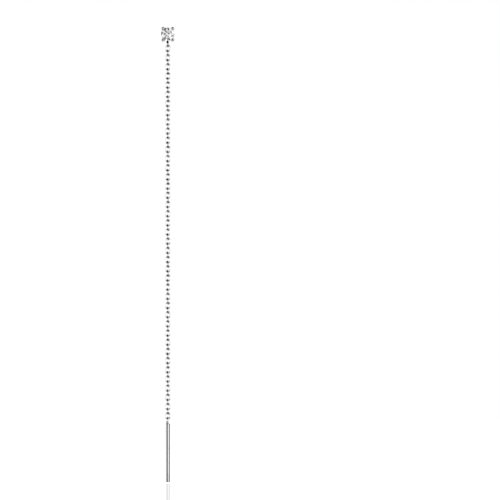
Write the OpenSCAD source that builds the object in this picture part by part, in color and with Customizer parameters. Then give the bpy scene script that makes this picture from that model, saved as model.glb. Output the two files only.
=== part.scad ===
/* [Stone] */
// Diameter of the round stone across its girdle
stone_d = 3; // [2.6:0.1:3.6]
// Width of the flat table as a share of the girdle diameter
table_share = 0.57; // [0.5:0.01:0.64]
// Where the star facets end, as a share of the way from table to girdle
star_share = 0.5; // [0.4:0.05:0.6]
// Where the lower halves end, as a share of the way from girdle to point
lower_half_share = 0.77; // [0.65:0.01:0.85]
// Slope of the crown facets in degrees
crown_angle = 34.5; // [31:0.5:38]
// Slope of the pavilion facets in degrees
pavilion_angle = 41; // [39:0.5:43]
// Height of the band round the girdle
girdle_h = 0.1; // [0.06:0.01:0.2]

/* [Setting] */
// Diameter of each of the four prongs
prong_d = 0.6; // [0.5:0.02:0.7]
// Diameter of the rounded claw at the end of each prong
claw_d = 0.78; // [0.72:0.02:0.86]
// How far the middle of a claw stands outside the girdle
claw_out = 0.1; // [0.04:0.02:0.16]
// How far the middle of a claw stands in front of the girdle
claw_rise = 0.1; // [0.06:0.02:0.16]
// Angle of each prong from the level line through the stone
prong_angle = 49; // [41:1:52]
// Diameter of the wire of the base ring at the back
base_wire = 0.42; // [0.36:0.02:0.5]
// Diameter of the base ring to the middle of its wire
base_ring_d = 1.44; // [1.3:0.02:1.6]
// Depth filed off the back of the base ring so that it sits flat
base_flat = 0.04; // [0.02:0.01:0.08]
// Diameter of the wire of the gallery rail under the stone
rail_wire = 0.36; // [0.3:0.02:0.42]
// Height of the middle of the gallery rail above the back
rail_h = 1; // [0.9:0.02:1.1]
// Space between the stone's point and the back of the setting
point_space = 0.25; // [0.2:0.01:0.35]
// Space between the stone and the metal that holds it
seat_gap = 0.05; // [0.03:0.01:0.08]

/* [Chain] */
// Number of links in the chain
link_count = 81; // [10:1:88]
// Diameter of the wire of the links, the loop and the eye
wire_d = 0.28; // [0.24:0.01:0.3]
// Outer length of a link
link_l = 1.67; // [1.5:0.01:1.9]
// Outer width of a link
link_w = 1.1; // [1.06:0.01:1.3]
// Space between two wires that hook into each other
link_gap = 0.1; // [0.1:0.01:0.12]
// Distance of the chain from the back of the setting
chain_depth = 0.6; // [0.56:0.01:0.64]

/* [Loop under the setting] */
// Outer length of the loop
loop_l = 2.2; // [2:0.02:2.6]
// Outer width of the loop
loop_w = 1.1; // [1.06:0.01:1.2]

/* [Threader bar] */
// Diameter of the bar that passes through the ear
bar_d = 0.92; // [0.8:0.01:1.1]
// Length of the bar without its eye
bar_l = 12.9; // [8:0.1:20]
// Radius of the rounded edge at both ends of the bar
bar_edge = 0.12; // [0.06:0.01:0.2]
// Outer length of the eye on top of the bar
eye_l = 1.67; // [1.5:0.01:1.9]
// Outer width of the eye
eye_w = 1.1; // [1.06:0.01:1.2]
// How deep the eye is soldered into the bar
eye_sink = 0.14; // [0.1:0.01:0.24]

/* [Hidden] */

// Smoothness of the round surfaces
$fn = 48;
// Number of steps in the rounded edge of the bar
edge_steps = 4;
// Number of crown mains, which are the kites round the table
mains = 8;
// Angle between two mains and between a main and the next half facet
main_step = 360 / mains;
half_step = main_step / 2;
// Reach of the cutting blocks and cut stock past the work
spare = 1;

stone_r = stone_d / 2;
prong_foot_r = base_ring_d / 2;
base_mid_z = base_wire / 2 - base_flat;

// Depths of the stone, counted from the back of the setting
girdle_back = point_space + stone_r * tan(pavilion_angle);
girdle_front = girdle_back + girdle_h;
table_r = stone_r * table_share;
table_front = girdle_front + (stone_r - table_r) * tan(crown_angle);
claw_mid_z = girdle_front + claw_rise;
claw_mid_r = stone_r + claw_out;

// Distance from the stone's axis at which a round of radius r lies just clear of the pavilion
function clear_of_pavilion(r, z) =
    (r + seat_gap + (z - point_space) * cos(pavilion_angle)) / sin(pavilion_angle);
rail_r = clear_of_pavilion(rail_wire / 2, rail_h);

// Heights along the chain, counted from the middle of the stone
hook_step = wire_d + link_gap;
link_pitch = link_l - wire_d - hook_step;
loop_top = loop_w / 2 - clear_of_pavilion(loop_w / 2, chain_depth);
loop_hook = loop_top - loop_l + wire_d / 2;
chain_top = loop_hook + hook_step + wire_d / 2;
eye_top = chain_top - link_count * link_pitch;
bar_top = eye_top - eye_l + eye_sink;

// Links face the front and the side by turns, and the loop above them starts from the side
function link_turn(k) = (k % 2 == 0) ? 0 : 90;

// A point on the stone from its distance to the axis, its angle and its depth
function stone_point(r, a, z) = [r * cos(a), r * sin(a), z];

// Depth of a crown main and of a pavilion main at a point beside its middle line
function crown_z(r, a) = girdle_front + (stone_r - r * cos(a)) * tan(crown_angle);
function pavilion_z(r, a) = girdle_back - (stone_r - r * cos(a)) * tan(pavilion_angle);

// Places one child at each of the four prongs
module at_prongs() {
    for (a = [prong_angle, 180 - prong_angle, 180 + prong_angle, -prong_angle])
        rotate([0, 0, a])
            children();
}

// Turns a piece that was built on its back so that its front faces -Y
module facing_front() {
    rotate([90, 0, 0])
        children();
}

// A closed ring of round wire, with its middle circle of radius r
module wire_ring(r, wire) {
    rotate_extrude()
        translate([r, 0])
            circle(d = wire);
}

// One end of an oval of round wire, from one side round to the other
module wire_bend(r, wire) {
    rotate([90, 0, 0])
        rotate_extrude(angle = 180)
            translate([r, 0])
                circle(d = wire);
}

// An upright oval of round wire in the XZ plane, hanging down from its outer top at zero
module wire_oval(length, width, wire) {
    bend_r = (width - wire) / 2;
    straight = length - width;
    translate([0, 0, -width / 2])
        wire_bend(bend_r, wire);
    translate([0, 0, -width / 2 - straight])
        rotate([0, 180, 0])
            wire_bend(bend_r, wire);
    for (side = [-1, 1])
        translate([side * bend_r, 0, -width / 2 - straight])
            cylinder(d = wire, h = straight);
}

// The round brilliant, table to the front, with its point towards the back
module brilliant() {
    table_edge = table_r * cos(half_step);
    star_r = table_edge + star_share * (stone_r - table_edge);
    half_r = stone_r * (1 - lower_half_share);
    k = [for (i = [0 : mains - 1]) i];
    points = concat(
        [for (i = k) stone_point(table_r, i * main_step, table_front)],
        [for (i = k) stone_point(star_r, i * main_step + half_step, crown_z(star_r, half_step))],
        [for (i = [0 : 2 * mains - 1]) stone_point(stone_r, i * half_step, girdle_front)],
        [for (i = [0 : 2 * mains - 1]) stone_point(stone_r, i * half_step, girdle_back)],
        [for (i = k) stone_point(half_r, i * main_step + half_step, pavilion_z(half_r, half_step))],
        [[0, 0, point_space]]
    );
    star = mains;
    front = 2 * mains;
    back = 4 * mains;
    half = 6 * mains;
    tip = 7 * mains;
    faces = concat(
        [[for (i = k) mains - 1 - i]],
        [for (i = k) [i, (i + 1) % mains, star + i]],
        [for (i = k) [i, star + i, front + 2 * i, star + (i + mains - 1) % mains]],
        [for (i = k) [star + i, front + 2 * i + 1, front + 2 * i]],
        [for (i = k) [star + i, front + (2 * i + 2) % (2 * mains), front + 2 * i + 1]],
        [for (i = [0 : 2 * mains - 1])
            [front + i, front + (i + 1) % (2 * mains), back + (i + 1) % (2 * mains), back + i]],
        [for (i = k) [half + i, back + 2 * i, back + 2 * i + 1]],
        [for (i = k) [half + i, back + 2 * i + 1, back + (2 * i + 2) % (2 * mains)]],
        [for (i = k) [tip, half + (i + mains - 1) % mains, back + 2 * i, half + i]]
    );
    polyhedron(points, faces);
}

// The room that the stone takes in the metal, its own outline grown by the seat gap
module stone_room() {
    slope_gap = seat_gap / cos(pavilion_angle);
    crown_gap = seat_gap / cos(crown_angle);
    room_r = stone_r + seat_gap;
    rotate_extrude()
        polygon([
            [0, point_space - slope_gap],
            [room_r, girdle_back - slope_gap + seat_gap * tan(pavilion_angle)],
            [room_r, girdle_front + crown_gap - seat_gap * tan(crown_angle)],
            [table_r, table_front + crown_gap],
            [0, table_front + crown_gap]
        ]);
}

// One prong that leans out from the base ring, with a claw that folds over the girdle
module prong() {
    run = claw_mid_r - prong_foot_r;
    rise = claw_mid_z - base_mid_z;
    lean = atan(run / rise);
    translate([claw_mid_r, 0, claw_mid_z]) {
        sphere(d = claw_d);
        rotate([0, 180 + lean, 0])
            cylinder(d = prong_d, h = norm([run, rise]) + spare);
    }
}

// The loop that carries the chain, edge on to the front, with its top in the rails
module chain_loop() {
    translate([0, -chain_depth, loop_top])
        rotate([0, 0, link_turn(-1)])
            wire_oval(loop_l, loop_w, wire_d);
}

module stone() {
    color("aliceblue")
        facing_front()
            brilliant();
}

module setting() {
    color("silver") {
        facing_front()
            difference() {
                union() {
                    translate([0, 0, base_mid_z])
                        wire_ring(prong_foot_r, base_wire);
                    translate([0, 0, rail_h])
                        wire_ring(rail_r, rail_wire);
                    at_prongs()
                        prong();
                }
                stone_room();
                translate([-stone_d, -stone_d, -2 * spare])
                    cube([2 * stone_d, 2 * stone_d, 2 * spare]);
            }
        chain_loop();
    }
}

module chain() {
    color("gainsboro")
        for (k = [0 : link_count - 1])
            translate([0, -chain_depth, chain_top - k * link_pitch])
                rotate([0, 0, link_turn(k)])
                    wire_oval(link_l, link_w, wire_d);
}

// The round bar from its axis out, with both edges rounded
module bar_body() {
    bar_r = bar_d / 2;
    core_r = bar_r - bar_edge;
    turn = 90 / edge_steps;
    rotate_extrude()
        polygon(concat(
            [[0, 0]],
            [for (i = [0 : edge_steps])
                [core_r + bar_edge * sin(i * turn), -bar_edge * (1 - cos(i * turn))]],
            [for (i = [0 : edge_steps])
                [core_r + bar_edge * cos(i * turn), -bar_l + bar_edge * (1 - sin(i * turn))]],
            [[0, -bar_l]]
        ));
}

module bar() {
    color("silver")
        translate([0, -chain_depth, 0]) {
            translate([0, 0, eye_top])
                rotate([0, 0, link_turn(link_count)])
                    wire_oval(eye_l, eye_w, wire_d);
            translate([0, 0, bar_top])
                bar_body();
        }
}

stone();
setting();
chain();
bar();
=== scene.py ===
# %% [markdown]
# # A threader earring, dressed for its photograph
# The earring is a round stone in a four-prong setting, a fine cable chain and a straight bar.
# The bar is drawn through the piercing and the stone stops in front of the ear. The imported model
# gives every piece its place, so this script only adds finer forms, finishes, light and a camera.

# %% Load the frame
import math
import random

import bmesh
import bpy
from mathutils import Matrix, Vector


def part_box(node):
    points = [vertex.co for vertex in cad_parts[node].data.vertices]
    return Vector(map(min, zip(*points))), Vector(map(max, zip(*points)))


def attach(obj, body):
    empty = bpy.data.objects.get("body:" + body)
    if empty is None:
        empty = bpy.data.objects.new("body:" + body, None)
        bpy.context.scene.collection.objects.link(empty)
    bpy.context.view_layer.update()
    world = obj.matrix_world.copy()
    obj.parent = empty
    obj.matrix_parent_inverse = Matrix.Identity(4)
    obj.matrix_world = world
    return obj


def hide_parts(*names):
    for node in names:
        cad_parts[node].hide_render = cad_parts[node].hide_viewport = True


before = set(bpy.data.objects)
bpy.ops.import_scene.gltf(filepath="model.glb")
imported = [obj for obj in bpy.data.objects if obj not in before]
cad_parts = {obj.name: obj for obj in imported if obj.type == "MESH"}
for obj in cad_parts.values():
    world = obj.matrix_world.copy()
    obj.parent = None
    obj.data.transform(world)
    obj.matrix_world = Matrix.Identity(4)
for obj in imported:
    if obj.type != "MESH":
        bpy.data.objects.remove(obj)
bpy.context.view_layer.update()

MM = 0.001

# %% [markdown]
# ## Sizes
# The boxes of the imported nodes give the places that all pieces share: the axis on which the chain
# and the bar hang, the stone's girdle and the ends of the bar. A few sizes of the wire can't be read
# from a box, so they are written here once, as on a maker's job card.

# %% Sizes
WIRE = 0.28 * MM
LINK_GAP = 0.1 * MM
LINK_COUNT = 81
BAR_EDGE = 0.12 * MM
EYE_SINK = 0.14 * MM
SEAT_GAP = 0.05 * MM

stone_low, stone_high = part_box("stone")
setting_low, setting_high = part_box("setting")
chain_low, chain_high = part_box("chain")
bar_low, bar_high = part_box("bar")

CHAIN_Y = (bar_low.y + bar_high.y) / 2
LINK_WIDTH = chain_high.x - chain_low.x
BAR_RADIUS = bar_high.x
LINK_PITCH = (chain_high.z - bar_high.z) / LINK_COUNT
LINK_LENGTH = LINK_PITCH + 2 * WIRE + LINK_GAP
STONE_RADIUS = stone_high.x
print("link", round(LINK_LENGTH / MM, 3), "by", round(LINK_WIDTH / MM, 3), "mm")
print("pitch of the links", round(LINK_PITCH / MM, 4), "mm")
print("setting in mm", [round(v / MM, 2) for v in setting_high - setting_low])

# %% [markdown]
# ## A small helper for round wire
# Jewellery of this kind is mostly round wire: links, rings and loops are wire that was bent and
# soldered shut. In Blender a bent wire is a circle that spin carries round the bend and extrude
# carries along the straight. Both are operators, so no list of vertices has to be worked out, and the
# wire keeps an even thickness all the way. Where the two ends meet, they are merged, as solder does.

# %% Bent and straight wire
WIRE_SIDES = 14
BEND_STEPS = 14
WIRE_WELD = WIRE / 200
X, Y, Z = Vector((1, 0, 0)), Vector((0, 1, 0)), Vector((0, 0, 1))


def wire_start(bm, radius, middle, across, up):
    """A circle of wire, as loose edges, round the point middle."""
    ring = bmesh.ops.create_circle(bm, cap_ends=False, radius=radius, segments=WIRE_SIDES)["verts"]
    turn = Matrix((across, up, across.cross(up))).transposed().to_4x4()
    bmesh.ops.transform(bm, matrix=Matrix.Translation(middle) @ turn, verts=ring)
    return list({edge for vert in ring for edge in vert.link_edges})


def bend(bm, edges, centre, axis, angle):
    """Carries the open end of a wire round a bend and returns the new end."""
    spun = bmesh.ops.spin(bm, geom=edges, cent=centre, axis=axis, angle=angle, steps=BEND_STEPS,
                          use_merge=False)
    return [item for item in spun["geom_last"] if isinstance(item, bmesh.types.BMEdge)]


def straight(bm, edges, way):
    """Carries the open end of a wire straight on and returns the new end."""
    out = bmesh.ops.extrude_edge_only(bm, edges=edges)["geom"]
    verts = [item for item in out if isinstance(item, bmesh.types.BMVert)]
    bmesh.ops.translate(bm, verts=verts, vec=way)
    return [item for item in out if isinstance(item, bmesh.types.BMEdge)]


def add_oval(bm, length, width, wire):
    """An upright oval ring of wire that faces the front and hangs down from its outer top at zero."""
    bend_radius = (width - wire) / 2
    upper = -Z * width / 2
    lower = -Z * (length - width / 2)
    end = wire_start(bm, wire / 2, upper + X * bend_radius, X, Y)
    end = bend(bm, end, upper, -Y, math.pi)
    end = straight(bm, end, lower - upper)
    end = bend(bm, end, lower, -Y, math.pi)
    straight(bm, end, upper - lower)


def close_up(bm):
    """Joins the two ends of a closed form and turns every face outwards."""
    bmesh.ops.remove_doubles(bm, verts=bm.verts, dist=WIRE_WELD)
    bmesh.ops.recalc_face_normals(bm, faces=bm.faces)


print("wire", round(WIRE / MM, 2), "mm thick, with", WIRE_SIDES, "sides")

# %% [markdown]
# ## Turned forms and finished pieces
# Whatever is turned or cast round, such as a prong, is a profile that spin carries once round its
# axis. Spin makes the same faces in another order each time the script runs. They are numbered anew by
# their corners, so that every run writes the very same mesh. A finished piece rides on its body and
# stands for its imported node, and its slot names the metal that it is made of.

# %% Turned forms and pieces
# Points of a turned form are merged where they lie closer than its reach over this number
WELD_PARTS = 5000


def spin_profile(bm, points, steps):
    """Turns a profile of (radius, height) points into a closed form of revolution."""
    verts = [bm.verts.new((r, 0, z)) for r, z in points]
    edges = [bm.edges.new(pair) for pair in zip(verts, verts[1:])]
    before = set(bm.verts) - set(verts)
    bmesh.ops.spin(bm, geom=verts + edges, cent=(0, 0, 0), axis=Z, angle=2 * math.pi, steps=steps,
                   use_merge=True)
    made = [v for v in bm.verts if v not in before]
    reach = max(abs(size) for point in points for size in point)
    bmesh.ops.remove_doubles(bm, verts=made, dist=reach / WELD_PARTS)
    return [v for v in bm.verts if v not in before]


def number_faces(bm):
    """Puts the faces in the order of their corners, whatever order they were made in."""
    bm.verts.index_update()
    by_corners = sorted(bm.faces, key=lambda face: sorted(vert.index for vert in face.verts))
    for number, face in enumerate(by_corners):
        face.index = number
    bm.faces.sort()


def object_of(name, bm):
    """Makes an object of a bmesh and puts it in the scene."""
    number_faces(bm)
    mesh = bpy.data.meshes.new(name)
    bm.to_mesh(mesh)
    bm.free()
    made = bpy.data.objects.new(name, mesh)
    bpy.context.scene.collection.objects.link(made)
    return made


def finish_piece(name, bm, body, node):
    """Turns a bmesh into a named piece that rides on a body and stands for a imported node."""
    piece = object_of(name, bm)
    polygons = piece.data.polygons
    polygons.foreach_set("use_smooth", [True] * len(polygons))
    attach(piece, body)
    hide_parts(node)
    print(name, len(polygons), "faces, size in mm", [round(v / MM, 3) for v in piece.dimensions])
    return piece


# %% [markdown]
# ## The chain
# A cable chain is made by winding wire on an oval rod, cutting the coil into rings and hooking each
# ring into the last before its joint is closed. Every ring is the same, and each hangs a quarter turn
# from its neighbours. One link is therefore modelled once and duplicated down the chain. The bar is too
# light to pull the links quite upright: they lean to the right and to the left by turns, each a little
# differently, and are twisted by a few degrees. The seed gives every run the same chain, and the gap
# between two wires stays open everywhere.

# %% Links of the cable chain
LEAN = math.radians(4)
LEAN_SPREAD = math.radians(1)
TWIST_SPREAD = math.radians(5)
CHAIN_SEED = 5


def quarter_turn(k):
    """Even links face the front and odd ones the side. The loop above link 0 is odd."""
    return Matrix.Rotation(math.radians(90 * (k % 2)), 4, "Z")


def verts_of(geometry):
    """The vertices in a mixed list of vertices, edges and faces."""
    return [item for item in geometry if isinstance(item, bmesh.types.BMVert)]


unlike = random.Random(CHAIN_SEED)
half = Matrix.Translation((0, 0, LINK_LENGTH / 2))
links = bmesh.new()
add_oval(links, LINK_LENGTH, LINK_WIDTH, WIRE)
close_up(links)
pattern = list(links.verts) + list(links.edges) + list(links.faces)
for k in range(LINK_COUNT):
    copy = bmesh.ops.duplicate(links, geom=pattern)["geom"]
    hand = 1 if k % 2 == 0 else -1
    lean = LEAN * hand + unlike.uniform(-LEAN_SPREAD, LEAN_SPREAD)
    twist = unlike.uniform(-TWIST_SPREAD, TWIST_SPREAD)
    hang = Matrix.Rotation(lean, 4, "Y") @ Matrix.Rotation(twist, 4, "Z") @ quarter_turn(k)
    top = Matrix.Translation((0, CHAIN_Y, chain_high.z - k * LINK_PITCH))
    bmesh.ops.transform(links, matrix=top @ half.inverted() @ hang @ half, verts=verts_of(copy))
bmesh.ops.delete(links, geom=verts_of(pattern), context="VERTS")
chain = finish_piece("chain_links", links, "hanger", "chain")

# %% [markdown]
# ## The threader bar
# The bar is a piece of drawn rod, cut square and tumbled, so both ends have a small round edge. A
# cylinder with its two end loops bevelled gives just that.

# %% Bar
EYE_WIDTH = bar_high.y - bar_low.y
EYE_LENGTH = LINK_LENGTH
BAR_SIDES = 72
EDGE_SEGMENTS = 6
LEVEL_WITHIN = MM / 1000

bar_top = bar_high.z - EYE_LENGTH + EYE_SINK
bar_length = bar_top - bar_low.z
bar = bmesh.new()
bmesh.ops.create_cone(bar, cap_ends=True, segments=BAR_SIDES, radius1=BAR_RADIUS, radius2=BAR_RADIUS,
                      depth=bar_length)
end_edges = [edge for edge in bar.edges if abs(edge.verts[0].co.z - edge.verts[1].co.z) < LEVEL_WITHIN]
bmesh.ops.bevel(bar, geom=end_edges, offset=BAR_EDGE, segments=EDGE_SEGMENTS, profile=0.5, affect="EDGES",
                material=-1)
bmesh.ops.translate(bar, verts=bar.verts, vec=(0, CHAIN_Y, bar_top - bar_length / 2))
print("bar", round(bar_length / MM, 2), "mm long,", round(2 * BAR_RADIUS / MM, 2), "mm thick")
bar_piece = finish_piece("threader_bar", bar, "threader", "bar")

# %% [markdown]
# The eye on top is a ring of the same wire as the links, set into the rod's end. The solder that holds
# it has climbed one side of the ring and set there as a small round lump. Its profile widens at the
# foot, where solder wets the rod, and closes in a dome. Spun round the axis it makes the soft grey
# mark that shows above the left half of the bar.

# %% Eye and solder
SOLDER_FOOT = 0.31 * MM
SOLDER_NECK = 0.28 * MM
SOLDER_RISE = 0.64 * MM
SOLDER_SHIFT = -0.13 * MM
SOLDER_SINK = 0.05 * MM
SOLDER_LENGTHWAYS = 1.1
SOLDER_STEPS = 12
SOLDER_SIDES = 32

eye = bmesh.new()
add_oval(eye, EYE_LENGTH, EYE_WIDTH, WIRE)
close_up(eye)
eye_place = Matrix.Translation((0, CHAIN_Y, bar_high.z)) @ quarter_turn(LINK_COUNT)
bmesh.ops.transform(eye, matrix=eye_place, verts=eye.verts)
eye_piece = finish_piece("bar_eye", eye, "threader", "bar")

solder = bmesh.new()
profile = [(0, -SOLDER_SINK), (SOLDER_FOOT, -SOLDER_SINK)]
for step in range(SOLDER_STEPS + 1):
    rise = step / SOLDER_STEPS
    flank = SOLDER_FOOT * (1 - rise) ** 2 + SOLDER_NECK * rise
    profile.append((flank * math.sqrt(1 - rise ** 4), SOLDER_RISE * rise))
spin_profile(solder, profile, SOLDER_SIDES)
bmesh.ops.scale(solder, vec=(1, SOLDER_LENGTHWAYS, 1), verts=solder.verts)
bmesh.ops.translate(solder, verts=solder.verts, vec=(SOLDER_SHIFT, CHAIN_Y, bar_top))
bmesh.ops.recalc_face_normals(solder, faces=solder.faces)
solder_piece = finish_piece("eye_solder", solder, "threader", "bar")

# %% [markdown]
# ## The setting
# A four-prong basket is soldered from a base ring, a gallery rail that the stone's back rests near,
# four prongs that lean outwards and a loop for the chain. The jeweller files a notch for the girdle in
# each prong and pushes its end over the stone as a rounded claw. The parts are made here in the same
# order, in millimetres and lying on their back, because a remesh can't work at a jewel's size in metres.
# They are scaled down and stood up at the end. The stone's cut gives the slopes that the metal follows.

# %% Sizes of the setting in millimetres
POINT_SPACE = -stone_high.y / MM
TABLE_FRONT = -stone_low.y / MM
CROWN_ANGLE = math.radians(34.5)
PAVILION_ANGLE = math.radians(41)
GIRDLE_HEIGHT = 0.1
BASE_WIRE = 0.42
BASE_RADIUS = 0.72
BASE_FLAT = 0.04
RAIL_WIRE = 0.36
RAIL_HEIGHT = 1.0
SEAT = SEAT_GAP / MM
LOOP_LENGTH = 2.2
LOOP_WIDTH = 1.1
LOOP_WIRE = WIRE / MM
LOOP_DEPTH = -CHAIN_Y / MM

girdle_radius = STONE_RADIUS / MM
girdle_back = POINT_SPACE + girdle_radius * math.tan(PAVILION_ANGLE)
girdle_front = girdle_back + GIRDLE_HEIGHT
table_radius = girdle_radius - (TABLE_FRONT - girdle_front) / math.tan(CROWN_ANGLE)
base_middle = BASE_WIRE / 2 - BASE_FLAT
print("girdle at", round(girdle_front, 3), "mm, table radius", round(table_radius, 3), "mm")


def clear_of_pavilion(radius, height):
    """Distance from the stone's axis at which a round lies just clear of the pavilion."""
    rise = (height - POINT_SPACE) * math.cos(PAVILION_ANGLE)
    return (radius + SEAT + rise) / math.sin(PAVILION_ANGLE)


# %% [markdown]
# Base ring and rail are bent wire, so a circle spun once round is enough. A prong is a cast pin: even
# for most of its length, then swelling to the rounded claw at its end. All four are one profile, turned
# to their place. The upper two are alike. The lower two were pushed out a little further, and each row
# of the table says where a prong stands and how far its claw stands out of the girdle.

# %% Rings and prongs
RING_STEPS = 72
PRONG_STEPS = 28
PRONG_RADIUS = 0.3
PRONG_FOOT = -0.3
CLAW_RADIUS = 0.39
CLAW_RISE = 0.1
# Distance below the claw's middle, and radius there
SWELL = ((0.62, 0.3), (0.42, 0.31), (0.28, 0.33), (0.16, 0.365), (0.06, 0.385))
# Slopes in degrees at which the claw's dome has a point
DOME = range(0, 91, 10)
# Angle in degrees, and distance of the claw's middle from the girdle
PRONGS = ((49, 0.1), (131, 0.1), (231, 0.17), (-51, 0.17))


def add_ring(bm, radius, wire, height):
    """A closed ring of round wire that lies flat at a height."""
    ring = wire_start(bm, wire / 2, X * radius + Z * height, X, Z)
    bmesh.ops.spin(bm, geom=ring, cent=(0, 0, 0), axis=Z, angle=2 * math.pi, steps=RING_STEPS,
                   use_merge=True)


def add_prong(bm, angle, out):
    """A prong from below the base ring to its claw, turned to its place round the stone."""
    run = girdle_radius + out - BASE_RADIUS
    rise = girdle_front + CLAW_RISE - base_middle
    length = math.hypot(run, rise)
    outline = [(0, PRONG_FOOT), (PRONG_RADIUS, PRONG_FOOT)]
    outline += [(radius, length - below) for below, radius in SWELL]
    slopes = [math.radians(slope) for slope in DOME]
    outline += [(CLAW_RADIUS * math.cos(a), length + CLAW_RADIUS * math.sin(a)) for a in slopes]
    made = spin_profile(bm, outline, PRONG_STEPS)
    lean_out = Matrix.Rotation(math.atan2(run, rise), 4, "Y")
    place = Matrix.Rotation(angle, 4, "Z") @ Matrix.Translation((BASE_RADIUS, 0, base_middle)) @ lean_out
    bmesh.ops.transform(bm, matrix=place, verts=made)


setting = bmesh.new()
add_ring(setting, BASE_RADIUS, BASE_WIRE, base_middle)
add_ring(setting, clear_of_pavilion(RAIL_WIRE / 2, RAIL_HEIGHT), RAIL_WIRE, RAIL_HEIGHT)
for degrees, out in PRONGS:
    add_prong(setting, math.radians(degrees), out)
bmesh.ops.recalc_face_normals(setting, faces=setting.faces)
print("rings and prongs before soldering", len(setting.faces), "faces")

# %% [markdown]
# The loop is an oval of link wire, soldered edge-on between rail and base ring. It is the same form as
# a link, only longer. A bead of solder sits on its front wire just under the stone, a little to the
# left, where the jeweller closed it.

# %% Loop and bead
LYING_TO_FRONT = Matrix.Rotation(math.radians(90), 4, "X")
LOOP_WELD = 0.001
BEAD_UP = -1.73
BEAD_ASIDE = -0.07
BEAD_SIZE = (0.28, 0.34, 0.22)
BEAD_AROUND = 24
BEAD_RINGS = 12

loop_top = LOOP_WIDTH / 2 - clear_of_pavilion(LOOP_WIDTH / 2, LOOP_DEPTH)
before_loop = set(setting.verts)
add_oval(setting, LOOP_LENGTH, LOOP_WIDTH, LOOP_WIRE)
loop_verts = [v for v in setting.verts if v not in before_loop]
bmesh.ops.remove_doubles(setting, verts=loop_verts, dist=LOOP_WELD)
loop_verts = [v for v in setting.verts if v not in before_loop]
loop_place = Matrix.Translation((0, -LOOP_DEPTH, loop_top)) @ quarter_turn(-1)
bmesh.ops.transform(setting, matrix=LYING_TO_FRONT.inverted() @ loop_place, verts=loop_verts)

bead = bmesh.ops.create_uvsphere(setting, u_segments=BEAD_AROUND, v_segments=BEAD_RINGS, radius=1)["verts"]
bead_front = (LOOP_WIDTH - LOOP_WIRE) / 2 + LOOP_DEPTH
bmesh.ops.scale(setting, vec=BEAD_SIZE, verts=bead)
bmesh.ops.translate(setting, verts=bead, vec=(BEAD_ASIDE, BEAD_UP, bead_front))
bmesh.ops.recalc_face_normals(setting, faces=setting.faces)
print("loop from", round(loop_top, 2), "to", round(loop_top - LOOP_LENGTH, 2), "mm, the stone's axis at 0")

# %% [markdown]
# Filing the seat takes a tool with the stone's own shape and a little room round it. It is a turned
# form like the stone, and a block beside it files the back of the base ring flat.

# %% The file for the seat and the back
ROOM_STEPS = 96
BACK_BLOCK = 4

slope_gap = SEAT / math.cos(PAVILION_ANGLE)
crown_gap = SEAT / math.cos(CROWN_ANGLE)
room_radius = girdle_radius + SEAT
room = bmesh.new()
spin_profile(room, [
    (0, POINT_SPACE - slope_gap),
    (room_radius, girdle_back - slope_gap + SEAT * math.tan(PAVILION_ANGLE)),
    (room_radius, girdle_front + crown_gap - SEAT * math.tan(CROWN_ANGLE)),
    (table_radius, TABLE_FRONT + crown_gap),
    (0, TABLE_FRONT + crown_gap),
], ROOM_STEPS)
back = bmesh.ops.create_cube(room, size=BACK_BLOCK)["verts"]
bmesh.ops.translate(room, verts=back, vec=(0, 0, -BACK_BLOCK / 2))
bmesh.ops.recalc_face_normals(room, faces=room.faces)
print("room for the stone", round(2 * room_radius, 2), "mm wide")

# %% [markdown]
# Solder flows into every corner, which a voxel remesh does to overlapping forms, and polishing rounds
# the rest, which is smoothing. Then the seat is filed, and a second remesh and a few more rounds give
# the fresh edges the small radius that burnishing leaves. It also makes the piece one closed skin.

# %% Solder, file and polish
VOXEL = 0.032
POLISH_ROUNDS = 6
BURNISH_ROUNDS = 5
POLISH_FORCE = 0.5
SHARP_ANGLE = math.radians(40)


def flow_and_polish(piece, name, rounds):
    """Makes one even skin of a form, as solder flows, and smooths it for some rounds."""
    flow = piece.modifiers.new(f"flow_{name}", "REMESH")
    flow.mode = "VOXEL"
    flow.voxel_size = VOXEL
    polish = piece.modifiers.new(f"polish_{name}", "SMOOTH")
    polish.factor = POLISH_FORCE
    polish.iterations = rounds


def applied(piece):
    """The piece's mesh with its modifiers applied."""
    bpy.context.view_layer.update()
    seen = piece.evaluated_get(bpy.context.evaluated_depsgraph_get())
    return bpy.data.meshes.new_from_object(seen)


cutter = object_of("stone_room", room)
work = object_of("setting_on_bench", setting)
flow_and_polish(work, "joints", POLISH_ROUNDS)
cut = work.modifiers.new("seat", "BOOLEAN")
cut.operation = "DIFFERENCE"
cut.solver = "EXACT"
cut.object = cutter
flow_and_polish(work, "cuts", BURNISH_ROUNDS)
cast = bmesh.new()
cast.from_mesh(applied(work))
bmesh.ops.transform(cast, matrix=Matrix.Scale(MM, 4) @ LYING_TO_FRONT, verts=cast.verts)
bpy.data.objects.remove(work)
bpy.data.objects.remove(cutter)
setting_piece = finish_piece("prong_setting", cast, "hanger", "setting")
setting_piece.data.set_sharp_from_angle(angle=SHARP_ANGLE)

# %% [markdown]
# ## Shader maths as plain expressions
# A finish is easier to read as a formula than as a web of wires. The class below wraps a socket, so
# that a sum or product of two of them adds its Math node. Every node comes from one method.

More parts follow.
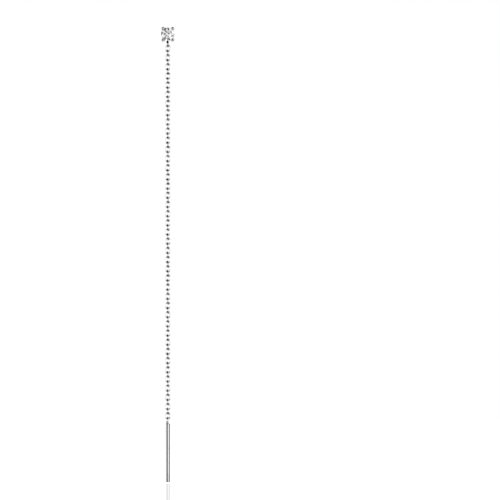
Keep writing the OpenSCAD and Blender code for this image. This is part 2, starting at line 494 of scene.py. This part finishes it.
# %% The socket class
class Value:
    """A number that varies over a surface, as a node socket that does arithmetic."""

    def __init__(self, finish, socket):
        self.finish = finish
        self.socket = socket

    def maths(self, operation, first, second=0.0):
        """The result of one Math node on two numbers."""
        made = self.finish.node("ShaderNodeMath", {"operation": operation}, _0=first, _1=second)
        return self.finish.value(made)

    def __add__(self, other):
        return self.maths("ADD", self, other)

    def __sub__(self, other):
        return self.maths("SUBTRACT", self, other)

    def __mul__(self, other):
        return self.maths("MULTIPLY", self, other)

    def __rsub__(self, other):
        return self.maths("SUBTRACT", other, self)

    def __abs__(self):
        return self.maths("ABSOLUTE", self)

    __radd__ = __add__
    __rmul__ = __mul__

    def step(self, low, high):
        """0 below low, 1 above high and a smooth rise between them."""
        made = self.finish.node("ShaderNodeMapRange", {"interpolation_type": "SMOOTHSTEP"}, Value=self,
                                From_Min=low, From_Max=high)
        return self.finish.value(made)


class Finish:
    """The node tree of one material, or of the world."""

    def __init__(self, owner):
        owner.use_nodes = True
        self.tree = owner.node_tree
        self.tree.nodes.clear()

    def node(self, kind, settings=None, **sockets):
        """Adds a node, makes its settings first, then fills its sockets, named or by number as _0."""
        node = self.tree.nodes.new(kind)
        for name, setting_value in (settings or {}).items():
            setattr(node, name, setting_value)
        for name, item in sockets.items():
            key = int(name[1:]) if name[1:].isdigit() else name.replace("_", " ")
            self.fill(node.inputs[key], item)
        return node

    def fill(self, place, item):
        """Links a socket to a place, or writes a plain value there."""
        if isinstance(item, Value):
            self.tree.links.new(item.socket, place)
        elif isinstance(item, bpy.types.NodeSocket):
            self.tree.links.new(item, place)
        else:
            place.default_value = item

    def value(self, node, output=0):
        """An output of a node, as a number for formulas."""
        return Value(self, node.outputs[output])

    def colour(self, factor, low, high):
        """A colour that goes from low to high with the factor."""
        mix = self.node("ShaderNodeMix", {"data_type": "RGBA"}, Factor=factor)
        for place, shade in ((mix.inputs[6], low), (mix.inputs[7], high)):
            self.fill(place, (*shade, 1) if isinstance(shade, tuple) else shade)
        return mix.outputs[2]

    def place_in_mm(self, stretch=(1, 1, 1)):
        """The place on the object in millimetres, from its own coordinates."""
        spot = self.node("ShaderNodeTexCoord").outputs["Object"]
        scale = tuple(s / MM for s in stretch)
        return self.node("ShaderNodeMapping", {"vector_type": "POINT"}, Vector=spot, Scale=scale).outputs[0]

    def axes(self, spot):
        """The three parts of a place, as plain numbers."""
        parts = self.node("ShaderNodeSeparateXYZ", Vector=spot)
        return [self.value(parts, i) for i in range(3)]

    def noise(self, spot, scale, detail, roughness=0.5):
        """Soft random spots of a size, between 0 and 1."""
        made = self.node("ShaderNodeTexNoise", Vector=spot, Scale=scale, Detail=detail, Roughness=roughness)
        return self.value(made, "Fac")


# %% [markdown]
# ## Painted shade in the silver
# Where two wires hook into each other, each wire shades the other, and the stone shades the solder
# bead and the loop wire just under it. This shade is painted into the silver's colour as a dark tone.
# Two masks find these places from the piece's own coordinates. The crossings follow each other at the
# links' pitch and lie right and left of the middle by turns, as the links lean.

# %% Masks for the painted shade
# Distances in millimetres. A pair says where a soft edge starts and where it ends.
CREVICE_WIDE = (0.1, 0.24)
CREVICE_HIGH = (0.13, 0.56)
CREVICE_RIGHT = 0.01
CREVICE_SWING = 0.1
ABOVE_BAR = (0.4, 0.6)
ABOVE_CHAIN = (0.4, 0.5)
BEAD_WIDE = (0.25, 0.34)
BEAD_HIGH = (0.34, 0.5)


def painted_crossing_shade(f):
    """Painted shade: 1 where two wires hook into each other and shade each other, and 0 half a link away
    from there.
    """
    x, _, z = f.axes(f.place_in_mm())
    pitch = LINK_PITCH / MM
    first = (chain_high.z - WIRE - LINK_GAP / 2) / MM
    from_first = z - first
    away = z.maths("PINGPONG", from_first, pitch / 2)
    aside = CREVICE_RIGHT - z.maths("PINGPONG", from_first, pitch) * (CREVICE_SWING / pitch)
    above_bar = z.step(*(bar_top / MM + free for free in ABOVE_BAR))
    above_chain = z.step(*(first + free for free in ABOVE_CHAIN))
    close = (1 - abs(x - aside).step(*CREVICE_WIDE)) * (1 - away.step(*CREVICE_HIGH))
    return close * (above_bar - above_chain)


def painted_stone_shade(f):
    """Painted shade: 1 on the solder bead and on the loop wire just under the stone, where the stone shades
    them.
    """
    x, _, z = f.axes(f.place_in_mm())
    return (1 - abs(x - BEAD_ASIDE).step(*BEAD_WIDE)) * (1 - abs(z - BEAD_UP).step(*BEAD_HIGH))


# %% [markdown]
# ## Polished silver
# Bright silver is a mirror with a warm-white colour of about nine tenths. What makes it look like metal
# and not like paint is small: drawing lines that run along a rod or wire, fine random scratches from
# wear, a slightly milky film where polish did not reach, and a small change of roughness from place to
# place. One function makes them all, with settings for cast, wire and rod. The solder on the eye is the
# same metal with more of the film, because solder holds less silver and turns grey.

# %% Silver finishes
SILVER = (0.915, 0.91, 0.9)
SILVER_DULL = (0.80, 0.795, 0.785)
SOLDER = (0.5, 0.49, 0.48)
SOLDER_DULL = (0.3, 0.295, 0.29)
# Painted shade: the dark tone that the masks put where wires and the stone shade the silver
PAINTED_SHADE_TONE = (0.085, 0.083, 0.08)
# Scale and detail of each noise, and its roughness where it isn't the usual one
CLOUDS = (1.3, 2.0)
DRAWN_LINES = (9.0, 3.0, 0.6)
SCRATCHES = (14.0, 2.0, 0.65)
FILM_FROM = (0.52, 0.74)
CLOUD_ROUGHNESS = 0.05
LINE_ROUGHNESS = 0.05
FILM_ROUGHNESS = 0.16
RELIEF = 0.35
LINE_SHARE = 0.7
SCRATCH_SHARE = 0.3
EVEN = (1, 1, 1)
LENGTHWAYS = (5, 5, 0.12)


def silver(name, polish, line_stretch, line_depth, film_share, masks_of_painted_shade=(), tones=(SILVER, SILVER_DULL)):
    """Polished silver with lines drawn along the axis that line_stretch leaves short, and shade painted
    into its colour where each given mask says.
    """
    metal = bpy.data.materials.new(name)
    f = Finish(metal)
    along = f.place_in_mm(line_stretch)
    cloud = f.noise(f.place_in_mm(), *CLOUDS)
    lines = f.noise(along, *DRAWN_LINES)
    scratch = f.noise(along, *SCRATCHES)
    film = cloud.step(*FILM_FROM) * film_share
    rough = polish + CLOUD_ROUGHNESS * cloud + LINE_ROUGHNESS * lines + FILM_ROUGHNESS * film
    relief = f.node("ShaderNodeBump", Strength=RELIEF, Distance=line_depth * MM,
                    Height=lines * LINE_SHARE + scratch * SCRATCH_SHARE)
    shade = f.colour(film, *tones)
    # Each mask paints shade into the colour, where wires and the stone shade the silver
    for one_painted_shade in masks_of_painted_shade:
        shade = f.colour(one_painted_shade(f), shade, PAINTED_SHADE_TONE)
    surface = f.node("ShaderNodeBsdfPrincipled", Base_Color=shade, Metallic=1.0, Roughness=rough,
                     Normal=relief.outputs[0])
    f.node("ShaderNodeOutputMaterial", Surface=surface.outputs[0])
    return metal


def dress(piece, material):
    """Gives a piece one material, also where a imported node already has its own."""
    piece.data.materials.clear()
    piece.data.materials.append(material)


cast_silver = silver("cast_silver", 0.07, EVEN, 0.004, 0.8, (painted_crossing_shade, painted_stone_shade))
link_silver = silver("link_silver", 0.06, EVEN, 0.003, 0.7, (painted_crossing_shade,))
rod_silver = silver("rod_silver", 0.04, LENGTHWAYS, 0.003, 0.5)
solder_grey = silver("solder_grey", 0.16, EVEN, 0.006, 1.0, tones=(SOLDER, SOLDER_DULL))
dress(setting_piece, cast_silver)
dress(chain, link_silver)
dress(eye_piece, link_silver)
dress(bar_piece, rod_silver)
dress(solder_piece, solder_grey)
print("silver finishes", [metal.name for metal in (cast_silver, link_silver, rod_silver, solder_grey)])

# %% [markdown]
# ## The stone
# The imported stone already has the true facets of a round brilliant, so it stays and only gets its
# finish. It is a clear, colourless stone with a refractive index well above glass, which throws back
# most of the light that falls on its table. Its facets are polished and its girdle is left frosted.
# Very faint wheel lines cross each facet.

# %% Clear stone
STONE_INDEX = 2.16
GIRDLE_EDGE = 0.01
GIRDLE_FROST = 0.32
WHEEL_STRETCH = (1.0, 1.0, 12.0)
WHEEL_LINES = (8.0, 2.0)
WHEEL_RELIEF = 0.04
WHEEL_DEPTH = 0.001 * MM

cut_stone = bpy.data.materials.new("clear_stone")
f = Finish(cut_stone)
depth = f.axes(f.place_in_mm())[1] * -1.0
past_back = depth.step(girdle_back - GIRDLE_EDGE, girdle_back + GIRDLE_EDGE)
past_front = depth.step(girdle_front - GIRDLE_EDGE, girdle_front + GIRDLE_EDGE)
wheel = f.noise(f.place_in_mm(WHEEL_STRETCH), *WHEEL_LINES)
relief = f.node("ShaderNodeBump", Strength=WHEEL_RELIEF, Distance=WHEEL_DEPTH, Height=wheel)
surface = f.node("ShaderNodeBsdfPrincipled", Base_Color=(1, 1, 1, 1), IOR=STONE_INDEX,
                 Transmission_Weight=1.0, Normal=relief.outputs[0],
                 Roughness=GIRDLE_FROST * (past_back - past_front))
f.node("ShaderNodeOutputMaterial", Surface=surface.outputs[0])
stone_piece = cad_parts["stone"]
dress(stone_piece, cut_stone)
print("stone", round(2 * girdle_radius, 2), "mm wide, refractive index", STONE_INDEX)

# %% [markdown]
# ## Studio
# Small bright jewellery is photographed in a white tent. A polished bar shows such a tent as upright
# bands, one for each direction. Here a narrow bright box stands left of the camera and a wide one on
# its right, with a dark gap between them where the camera looks in. Grey cloth hangs at both sides and
# has a dark seam, and behind the jewel is a bright backdrop on two thin poles. The boxes are only so
# high: beyond their ends it is darker, and the roof is dim. From below, the same bands shine up again.
# The world gives this tent by direction, and rays from the camera see plain white.

# %% Tent by direction
# From and to in degrees right of the camera, half the width of the soft edges, and strength
LEFT_CLOTH = (-152, -54, 5, 0.56)
LEFT_BOX = (-54, -42, 4, 0.85)
RIGHT_BOX = (4, 44, 4, 1.35)
RIGHT_CLOTH = (44, 152, 4, 0.3)
LEFT_SEAM = (-98, -82, 3, 0.8)
RIGHT_SEAM = (80, 102, 3, 0.8)
# Edges in degrees to either side, counted from the camera
BACKDROP_FROM = (146, 157)
POLE_FROM = (159, 162)
POLE_TO = (169, 172)
POLE_DARK = 0.8
BACKDROP_LEVEL = 1.35
# Edges as the upward, sideways or backward part of a direction
BOX_END = (0.12, 0.24)
BOX_AGAIN = (0.26, 0.4)
BOX_END_DARK = 0.8
ROOF_BESIDE = (0.35, 0.65)
ROOF_BEHIND = (0.1, 0.5)
ROOF_DARK = 0.03
ROOF_LEVEL = 0.55
STEEP_FROM = (0.3, 0.55)
BELOW_FROM = (0.35, 0.6)
BELOW_LEVEL = 0.7

tent = bpy.data.worlds.new("white_tent")
bpy.context.scene.world = tent
w = Finish(tent)
side, ahead, up = w.axes(w.node("ShaderNodeTexCoord").outputs["Generated"])
turn = side.maths("ARCTAN2", side, ahead * -1.0) * math.degrees(1)


def band(low, high, soft, strength):
    """An upright stripe of the tent between two directions, with soft edges."""
    return (turn.step(low - soft, low + soft) - turn.step(high - soft, high + soft)) * strength


seams = 1 - (band(*LEFT_SEAM) + band(*RIGHT_SEAM))
poles = abs(turn).step(*POLE_FROM) - abs(turn).step(*POLE_TO)
backdrop = (abs(turn).step(*BACKDROP_FROM) - POLE_DARK * poles) * BACKDROP_LEVEL
drop = -1.0 * up
box_ends = abs(up).step(*BOX_END) - drop.step(*BOX_AGAIN)
cloths = (band(*LEFT_CLOTH) + band(*RIGHT_CLOTH)) * seams
boxes = (band(*LEFT_BOX) + band(*RIGHT_BOX)) * (1 - BOX_END_DARK * box_ends)
beside = abs(side).step(*ROOF_BESIDE)
behind = ahead.step(*ROOF_BEHIND)
roof = ROOF_DARK + ROOF_LEVEL * beside + ROOF_LEVEL * behind * (1 - beside)
steep = abs(up).step(*STEEP_FROM)
below = drop.step(*BELOW_FROM)
walls = (cloths + boxes + backdrop) * (1 - steep + BELOW_LEVEL * below)
light = walls + roof * (steep - steep * below)
seen = w.value(w.node("ShaderNodeLightPath"), "Is Camera Ray")
strength = light * (1 - seen) + seen
tent_light = w.node("ShaderNodeBackground", Color=(1, 1, 1, 1), Strength=strength)
w.node("ShaderNodeOutputWorld", Surface=tent_light.outputs[0])
print("tent of", len(tent.node_tree.nodes), "nodes")

# %% [markdown]
# Each part of a jewel gets its own light, as a jeweller shades the rest with small cards. Soft lamps
# round the camera fill the stone. White panels at both sides make the fine links shine at their flanks
# while the bar keeps its grey bands, and the setting gets the same panels at less than half the
# strength. Light linking plays the cards: a lamp only lights the pieces of its list.

# %% Lamps for the stone and the links
STONE_LAMP = 0.22
# Place in metres, and glow
STONE_LAMPS = (
    ((-0.05, -0.3, 0.2), 1.25),
    ((0.05, -0.3, -0.2), 1.0),
    ((-0.28, -0.2, 0.02), 0.8),
    ((0.28, -0.2, 0.02), 0.2),
    ((0, -0.4, 0), 0.3),
)
PANEL_AWAY = 0.35
PANEL_UP = -0.045
PANEL_WIDTH = 0.22
PANEL_HEIGHT = 0.17
# Direction in degrees right of the camera, and glow
PANELS = ((-130, 0.9), (-55, 0.9), (40, 1.8), (130, 1.1))
SETTING_SHARE = 0.45


def lit_pieces(name, pieces):
    """The list of pieces that a lamp lights."""
    listed = bpy.data.collections.new(name)
    for piece in pieces:
        listed.objects.link(piece)
    return listed


def soft_lamp(name, spot, aim, size, glow, listed):
    """A flat soft lamp at a spot, turned to the point aim, of a width and a height."""
    width, height = size
    lamp_data = bpy.data.lights.new(name, "AREA")
    lamp_data.shape = "RECTANGLE"
    lamp_data.size = width
    lamp_data.size_y = height
    lamp_data.energy = glow * math.pi * width * height
    lamp = bpy.data.objects.new(name, lamp_data)
    lamp.location = spot
    lamp.rotation_euler = (Vector(spot) - Vector(aim)).to_track_quat("Z", "Y").to_euler()
    lamp.visible_camera = False
    lamp.light_linking.receiver_collection = listed
    bpy.context.scene.collection.objects.link(lamp)


stone_only = lit_pieces("lit_stone", [stone_piece])
wire_parts = lit_pieces("lit_wire_parts", [chain, eye_piece])
setting_only = lit_pieces("lit_setting", [setting_piece])
for number, (spot, glow) in enumerate(STONE_LAMPS):
    soft_lamp(f"stone_lamp_{number}", spot, (0, 0, 0), (STONE_LAMP, STONE_LAMP), glow, stone_only)
for number, (degrees, glow) in enumerate(PANELS):
    angle = math.radians(degrees)
    spot = (PANEL_AWAY * math.sin(angle), -PANEL_AWAY * math.cos(angle), PANEL_UP)
    size = (PANEL_WIDTH, PANEL_HEIGHT)
    soft_lamp(f"wire_panel_{number}", spot, (0, 0, PANEL_UP), size, glow, wire_parts)
    soft_lamp(f"setting_panel_{number}", spot, (0, 0, PANEL_UP), size, glow * SETTING_SHARE, setting_only)
print(len(STONE_LAMPS), "lamps for the stone and", 2 * len(PANELS), "panels for the silver")

# %% [markdown]
# The floor is a sheet of white acrylic lit from below, so it glows evenly, and its gloss gives the bar a
# faint upside-down image. Further out it fades into the white. It is kept out of the reflections in the
# silver, as a dark card in front would do.

# %% White floor
FLOOR_GAP = 0.17 * MM
FLOOR_SIZE = 0.6
# Distances from the middle in millimetres between which the floor fades away
FLOOR_FADE = (60, 550)
FLOOR_GLOSS = 0.3
FLOOR_ROUGHNESS = 0.06

floor_form = bmesh.new()
bmesh.ops.create_grid(floor_form, x_segments=1, y_segments=1, size=FLOOR_SIZE)
bmesh.ops.translate(floor_form, verts=floor_form.verts, vec=(0, 0, bar_low.z - FLOOR_GAP))
floor = object_of("white_floor", floor_form)
floor.visible_glossy = False
floor.visible_transmission = False

acrylic = bpy.data.materials.new("white_acrylic")
g = Finish(acrylic)
glow = g.node("ShaderNodeEmission", Color=(1, 1, 1, 1), Strength=1.0)
gloss = g.node("ShaderNodeBsdfGlossy", Color=(1, 1, 1, 1), Roughness=FLOOR_ROUGHNESS)
both = g.node("ShaderNodeMixShader", _0=FLOOR_GLOSS, _1=glow.outputs[0], _2=gloss.outputs[0])
across, along, _ = g.axes(g.place_in_mm())
from_bar = across.maths("SQRT", across * across + along * along)
clear = g.node("ShaderNodeBsdfTransparent")
faded = g.node("ShaderNodeMixShader", _0=from_bar.step(*FLOOR_FADE), _1=both.outputs[0],
               _2=clear.outputs[0])
g.node("ShaderNodeOutputMaterial", Surface=faded.outputs[0])
dress(floor, acrylic)
print("floor", round(FLOOR_GAP / MM, 2), "mm under the bar")

# %% [markdown]
# ## Camera
# The camera looks level at the earring from far off, as the photograph does. PX is the size of one
# pixel on the earring. The pixel places of the bar's axis and of the stone's middle say how far aside
# and how high the camera stands, and the photograph's side says how far away.

# %% Camera
PHOTO_SIDE = 500
AXIS_PX = 167.9
STONE_PX = 34.2
PX = 0.22 * MM
LENS = 400
SENSOR = 36
CLIP_END = 10

camera_data = bpy.data.cameras.new("camera")
camera_data.lens = LENS
camera_data.sensor_width = SENSOR
camera_data.clip_end = CLIP_END
distance = PHOTO_SIDE * PX * LENS / SENSOR
middle = PHOTO_SIDE / 2
camera = bpy.data.objects.new("camera", camera_data)
camera.location = ((middle - AXIS_PX) * PX, CHAIN_Y - distance, (STONE_PX - middle) * PX)
camera.rotation_euler = (math.radians(90), 0, 0)
bpy.context.scene.collection.objects.link(camera)
bpy.context.scene.camera = camera
bpy.context.scene.view_settings.view_transform = "Standard"
print("camera", round(distance, 3), "m away")
